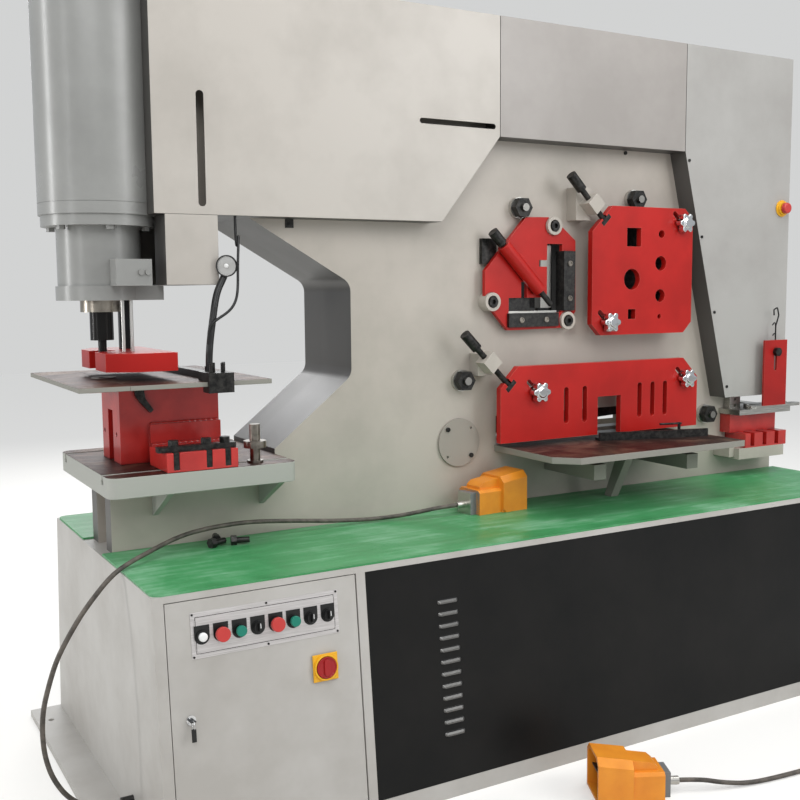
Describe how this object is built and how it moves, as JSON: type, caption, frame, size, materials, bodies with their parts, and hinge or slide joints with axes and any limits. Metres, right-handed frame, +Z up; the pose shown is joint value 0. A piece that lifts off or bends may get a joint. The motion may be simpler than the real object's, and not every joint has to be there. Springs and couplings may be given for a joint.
{
  "type": "hydraulic ironworker",
  "caption": "Hydraulic ironworker on a sheet steel cabinet: punching station in a deep throat, angle, bar and plate shears, a notcher, a control panel and foot switches.",
  "frame": {"origin": "on the floor under the middle of the cabinet", "axes": "+X along the cabinet to the notcher, +Y from the front to the back, +Z up"},
  "size_m": [2.9091, 1.4798, 2.174],
  "materials": {
    "frame_grey": "satin",
    "cabinet_white": "satin",
    "panel_charcoal": "satin",
    "mat_green": "matt",
    "guard_red": "gloss",
    "dark_steel": "oiled",
    "bright_steel": "ground",
    "oiled_plate": "oiled",
    "tool_steel": "turned",
    "black_steel": "satin",
    "chrome_knob": "polished",
    "control_steel": "brushed",
    "black_plastic": "fine grain",
    "red_plastic": "gloss",
    "green_plastic": "gloss",
    "pedal_orange": "gloss",
    "cable_grey": "matt"
  },
  "bodies": {
    "machine": {"base_frame": "cabinet_white", "rubber_mat": "mat_green", "louvred_panel": "panel_charcoal", "front_side_plate": "frame_grey", "rear_side_plate": "frame_grey", "front_covers": "frame_grey", "end_cover": "frame_grey", "rear_cover": "frame_grey", "cylinder_barrel": "frame_grey", "guide_housing": "frame_grey", "stripper": "guard_red", "lower_table": "frame_grey", "die_bed": "guard_red", "upper_table": "oiled_plate", "punch_die": "tool_steel", "gauge_clamp": "black_steel", "t_slot_block": "guard_red", "black_bolts": "black_steel", "turned_tool": "tool_steel", "work_lamp": "black_steel", "angle_shear_plate": "guard_red", "fixed_blades": "dark_steel", "shear_brackets": "frame_grey", "star_knobs": "chrome_knob", "shear_cylinder": "frame_grey", "shear_table": "oiled_plate", "angle_guide": "black_steel", "notch_table": "frame_grey", "notch_block": "guard_red", "notch_die": "bright_steel", "power_pack": "frame_grey", "mat_foot_switch": "pedal_orange", "floor_foot_switch": "pedal_orange", "mat_cable": "cable_grey", "floor_cable": "cable_grey", "machine_fasteners": "black_steel"},
    "ram": {"punch_ram": "tool_steel"},
    "shear_beam": {"shear_beam": "dark_steel"},
    "shear_rod": {"shear_rod": "tool_steel"},
    "bar_guard": {"bar_shear_guard": "guard_red", "bar_guard_screw": "black_steel"},
    "plate_guard": {"plate_shear_guard": "guard_red", "plate_guard_screw": "black_steel"},
    "angle_screw": {"angle_clamp_screw": "black_steel"},
    "notch_guard": {"notch_guard": "guard_red"},
    "door": {"cabinet_door": "cabinet_white", "control_plate": "control_steel", "control_bezels": "black_plastic"},
    "red_button_left": {"red_button_left": "red_plastic"},
    "green_button_left": {"green_button_left": "green_plastic"},
    "red_button_right": {"red_button_right": "red_plastic"},
    "green_button_right": {"green_button_right": "green_plastic"},
    "selector_left": {"selector_left": "black_plastic"},
    "selector_middle": {"selector_middle": "black_plastic"},
    "selector_right": {"selector_right": "black_plastic"},
    "main_switch": {"main_switch_knob": "red_plastic"},
    "lock": {"door_lock": "chrome_knob"},
    "stop_button": {"stop_mushroom": "red_plastic"},
    "mat_treadle": {"mat_treadle": "black_steel"},
    "floor_treadle": {"floor_treadle": "black_steel"}
  },
  "joints": [
    {"name": "ram_stroke", "type": "slide", "parent": "machine", "child": "ram", "axis": [0, 0, -1], "range_m": [0, 0.08]},
    {"name": "shear_swing", "type": "hinge", "parent": "machine", "child": "shear_beam", "pos_m": [-0.156, 0.058, 0.833], "axis": [0, 1, 0], "range_deg": [0, 3.5]},
    {"name": "shear_rod_stroke", "type": "slide", "parent": "machine", "child": "shear_rod", "axis": [0, 0, -1], "range_m": [0, 0.08]},
    {"name": "bar_guard_slide", "type": "slide", "parent": "machine", "child": "bar_guard", "axis": [0.7071, 0, -0.7071], "range_m": [0, 0.028]},
    {"name": "plate_guard_slide", "type": "slide", "parent": "machine", "child": "plate_guard", "axis": [0.7071, 0, -0.7071], "range_m": [0, 0.018]},
    {"name": "angle_screw_travel", "type": "slide", "parent": "machine", "child": "angle_screw", "axis": [-0.7071, 0, 0.7071], "range_m": [0, 0.02]},
    {"name": "notch_guard_lift", "type": "slide", "parent": "machine", "child": "notch_guard", "axis": [0, 0, 1], "range_m": [0, 0.06]},
    {"name": "door_swing", "type": "hinge", "parent": "machine", "child": "door", "pos_m": [-0.758, -0.51401, 0.29756], "axis": [0, 0.1034, 0.9946], "range_deg": [0, 110]},
    {"name": "red_left_push", "type": "slide", "parent": "door", "child": "red_button_left", "axis": [0, 0.9946, -0.1034], "range_m": [0, 0.004], "stiffness_N_per_m": 400, "springref_m": -0.004},
    {"name": "green_left_push", "type": "slide", "parent": "door", "child": "green_button_left", "axis": [0, 0.9946, -0.1034], "range_m": [0, 0.004], "stiffness_N_per_m": 400, "springref_m": -0.004},
    {"name": "red_right_push", "type": "slide", "parent": "door", "child": "red_button_right", "axis": [0, 0.9946, -0.1034], "range_m": [0, 0.004], "stiffness_N_per_m": 400, "springref_m": -0.004},
    {"name": "green_right_push", "type": "slide", "parent": "door", "child": "green_button_right", "axis": [0, 0.9946, -0.1034], "range_m": [0, 0.004], "stiffness_N_per_m": 400, "springref_m": -0.004},
    {"name": "selector_left_turn", "type": "hinge", "parent": "door", "child": "selector_left", "pos_m": [-1.01, -0.50644, 0.525], "axis": [0, -0.9946, 0.1034], "range_deg": [-45, 45]},
    {"name": "selector_middle_turn", "type": "hinge", "parent": "door", "child": "selector_middle", "pos_m": [-0.875, -0.50644, 0.525], "axis": [0, -0.9946, 0.1034], "range_deg": [-45, 45]},
    {"name": "selector_right_turn", "type": "hinge", "parent": "door", "child": "selector_right", "pos_m": [-0.83, -0.50644, 0.525], "axis": [0, -0.9946, 0.1034], "range_deg": [-45, 45]},
    {"name": "main_switch_turn", "type": "hinge", "parent": "door", "child": "main_switch", "pos_m": [-0.845, -0.5144, 0.40015], "axis": [0, -0.9946, 0.1034], "range_deg": [0, 90]},
    {"name": "lock_turn", "type": "hinge", "parent": "door", "child": "lock", "pos_m": [-1.182, -0.51742, 0.34215], "axis": [0, -0.9946, 0.1034], "range_deg": [0, 90]},
    {"name": "stop_push", "type": "slide", "parent": "machine", "child": "stop_button", "axis": [0, 1, 0], "range_m": [0, 0.004], "stiffness_N_per_m": 400, "springref_m": -0.004},
    {"name": "mat_treadle_press", "type": "hinge", "parent": "machine", "child": "mat_treadle", "pos_m": [-0.13788, -0.12835, 0.66], "axis": [-0.0698, 0.9976, 0], "range_deg": [0, 12], "stiffness_Nm_per_rad": 6, "springref_deg": -14.32},
    {"name": "floor_treadle_press", "type": "hinge", "parent": "machine", "child": "floor_treadle", "pos_m": [-0.06197, -0.78427, 0.03], "axis": [-0.4431, -0.8965, 0], "range_deg": [0, 12], "stiffness_Nm_per_rad": 6, "springref_deg": -14.32}
  ],
  "couplings": [
    {"joint": "shear_rod_stroke", "follows": "shear_swing", "m_per_rad": 1.12}
  ]
}
